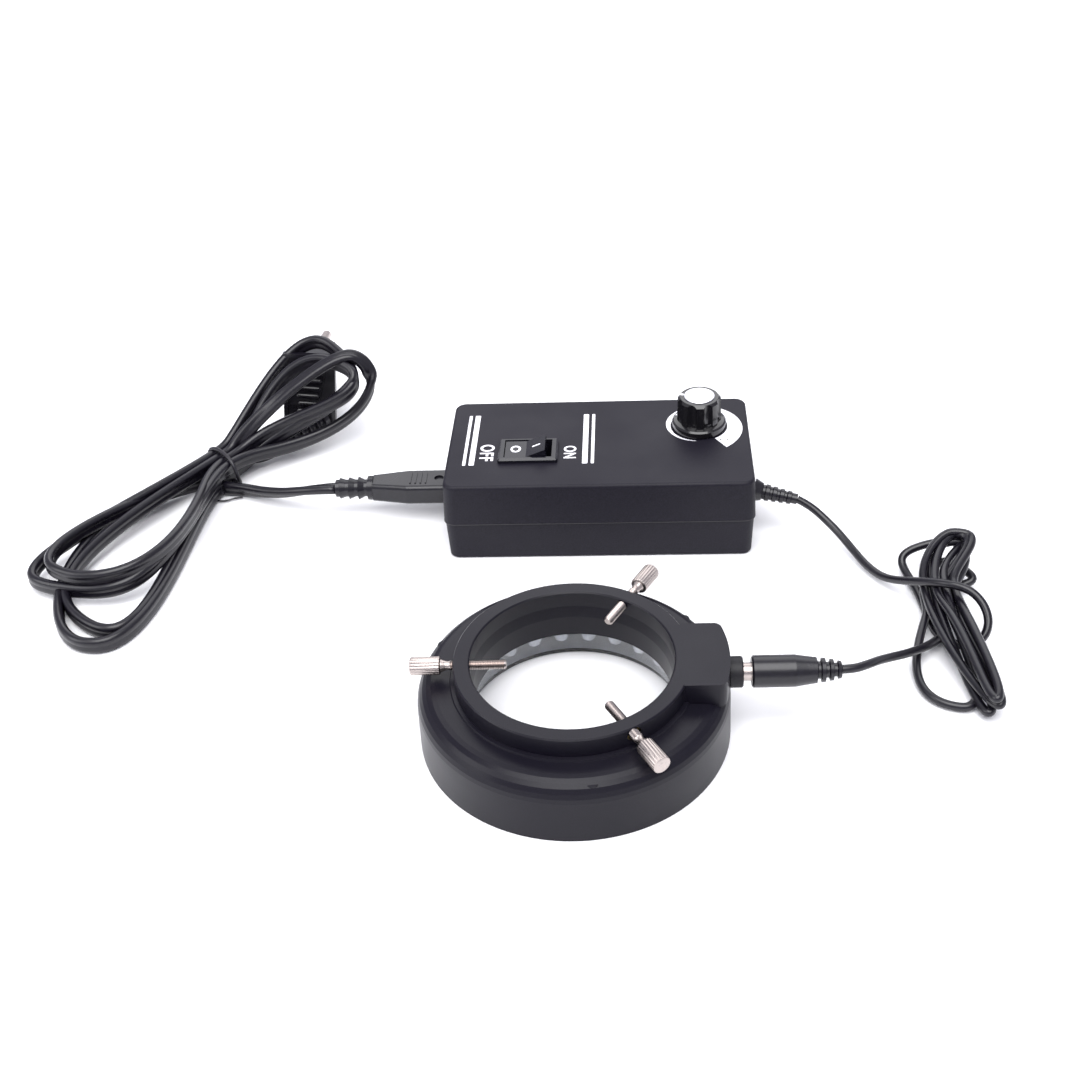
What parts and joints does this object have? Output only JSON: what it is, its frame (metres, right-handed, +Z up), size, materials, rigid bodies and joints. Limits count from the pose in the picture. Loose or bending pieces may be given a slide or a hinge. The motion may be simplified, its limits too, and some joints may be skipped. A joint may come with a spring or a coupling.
{
  "type": "stereo microscope ring lamp",
  "caption": "Ring lamp for a stereo microscope: clamping LED ring with thumbscrews, mains dimmer box with rocker and knob, low-voltage lead and tied mains lead.",
  "frame": {"origin": "Centre of the rectangle that the control box and the lamp ring cover together, on the table they lie on.", "axes": "+Z up, +Y from the lamp ring towards the control box, +X to the side where the low-voltage lead leaves both."},
  "size_m": [0.331, 0.266, 0.0434],
  "materials": {
    "ring_plastic": "satin moulded ABS with a fine texture",
    "clear_plastic": "clear moulded acrylic",
    "screw_steel": "zinc plated steel",
    "board": "green solder mask",
    "led_epoxy": "milky white lens",
    "chip_ceramic": "moulded epoxy",
    "socket_plastic": "glass-filled nylon",
    "contact_brass": "tinned brass",
    "wire_pvc": "soft insulation",
    "nickel": "bright nickel plate over brass",
    "box_plastic": "spark-textured moulded ABS",
    "ferrite": "ferrite core with a taped winding",
    "can_sleeve": "sleeved aluminium can",
    "heatsink_aluminium": "mill finish",
    "switch_plastic": "polished moulded nylon",
    "knob_phenolic": "polished black phenolic",
    "spun_aluminium": "turned face with circular grain",
    "print_white": "pad printed ink",
    "cord_pvc": "semi-gloss flexible PVC",
    "tie_plastic": "plastic-coated wire"
  },
  "bodies": {
    "control_box": {"bottom_shell": "box_plastic", "top_shell": "box_plastic", "case_screws": "screw_steel", "circuit_board": "board", "transformer": "ferrite", "capacitors": "can_sleeve", "heatsink": "heatsink_aluminium", "power_transistor": "chip_ceramic", "fuse": "chip_ceramic", "fuse_clips": "contact_brass", "switch_housing": "switch_plastic", "switch_terminals": "contact_brass", "dimmer_body": "switch_plastic", "dimmer_nut": "nickel", "dimmer_lugs": "contact_brass", "dial_label": "print_white", "mains_inlet": "socket_plastic", "inlet_pins": "contact_brass", "box_wires": "wire_pvc", "dc_strain_relief": "cord_pvc", "dc_cord_to_box": "cord_pvc", "dc_hank": "cord_pvc", "dc_cord_to_plug": "cord_pvc", "dc_plug_barrel": "nickel", "dc_plug_body": "cord_pvc"},
    "rocker": {"rocker": "switch_plastic"},
    "knob": {"knob": "knob_phenolic", "knob_cap": "spun_aluminium", "knob_set_screw": "screw_steel", "dimmer_shaft": "screw_steel"},
    "mains_lead": {"mains_connector": "cord_pvc", "connector_contacts": "contact_brass", "mains_cord_to_connector": "cord_pvc", "mains_hank": "cord_pvc", "twist_tie": "tie_plastic", "mains_cord_to_plug": "cord_pvc", "mains_plug": "cord_pvc", "plug_pins": "nickel"},
    "ring": {"ring_housing": "ring_plastic", "clear_cover": "clear_plastic", "cover_screws": "screw_steel", "led_board": "board", "leds": "led_epoxy", "led_resistors": "chip_ceramic", "dc_jack": "socket_plastic", "jack_centre_pin": "contact_brass", "jack_wires": "wire_pvc", "thread_inserts": "contact_brass"},
    "thumbscrew_left": {"thumbscrew_left": "nickel"},
    "thumbscrew_rear": {"thumbscrew_rear": "nickel"},
    "thumbscrew_front": {"thumbscrew_front": "nickel"}
  },
  "joints": [
    {"name": "rocker_tilt", "type": "hinge", "parent": "control_box", "child": "rocker", "pos_m": [-0.0244, 0.05935, 0.0286], "axis": [0, 1, 0], "range_deg": [0, 22.4]},
    {"name": "knob_turn", "type": "hinge", "parent": "control_box", "child": "knob", "pos_m": [0.03655, 0.075, 0.0306], "axis": [0, 0, 1], "range_deg": [-215, 85]},
    {"name": "mains_plug_out", "type": "slide", "parent": "control_box", "child": "mains_lead", "axis": [-1, 0, 0], "range_m": [0, 0.016]},
    {"name": "ring_plug_out", "type": "slide", "parent": "control_box", "child": "ring", "axis": [-0.9998, -0.0209, 0], "range_m": [0, 0.012]},
    {"name": "thumbscrew_left_travel", "type": "slide", "parent": "ring", "child": "thumbscrew_left", "axis": [-0.9998, -0.0209, 0], "range_m": [-0.0034, 0.011]},
    {"name": "thumbscrew_rear_travel", "type": "slide", "parent": "ring", "child": "thumbscrew_rear", "axis": [0.4818, 0.8763, 0], "range_m": [-0.0055, 0.0089]},
    {"name": "thumbscrew_front_travel", "type": "slide", "parent": "ring", "child": "thumbscrew_front", "axis": [0.518, -0.8554, 0], "range_m": [-0.0049, 0.0095]}
  ]
}
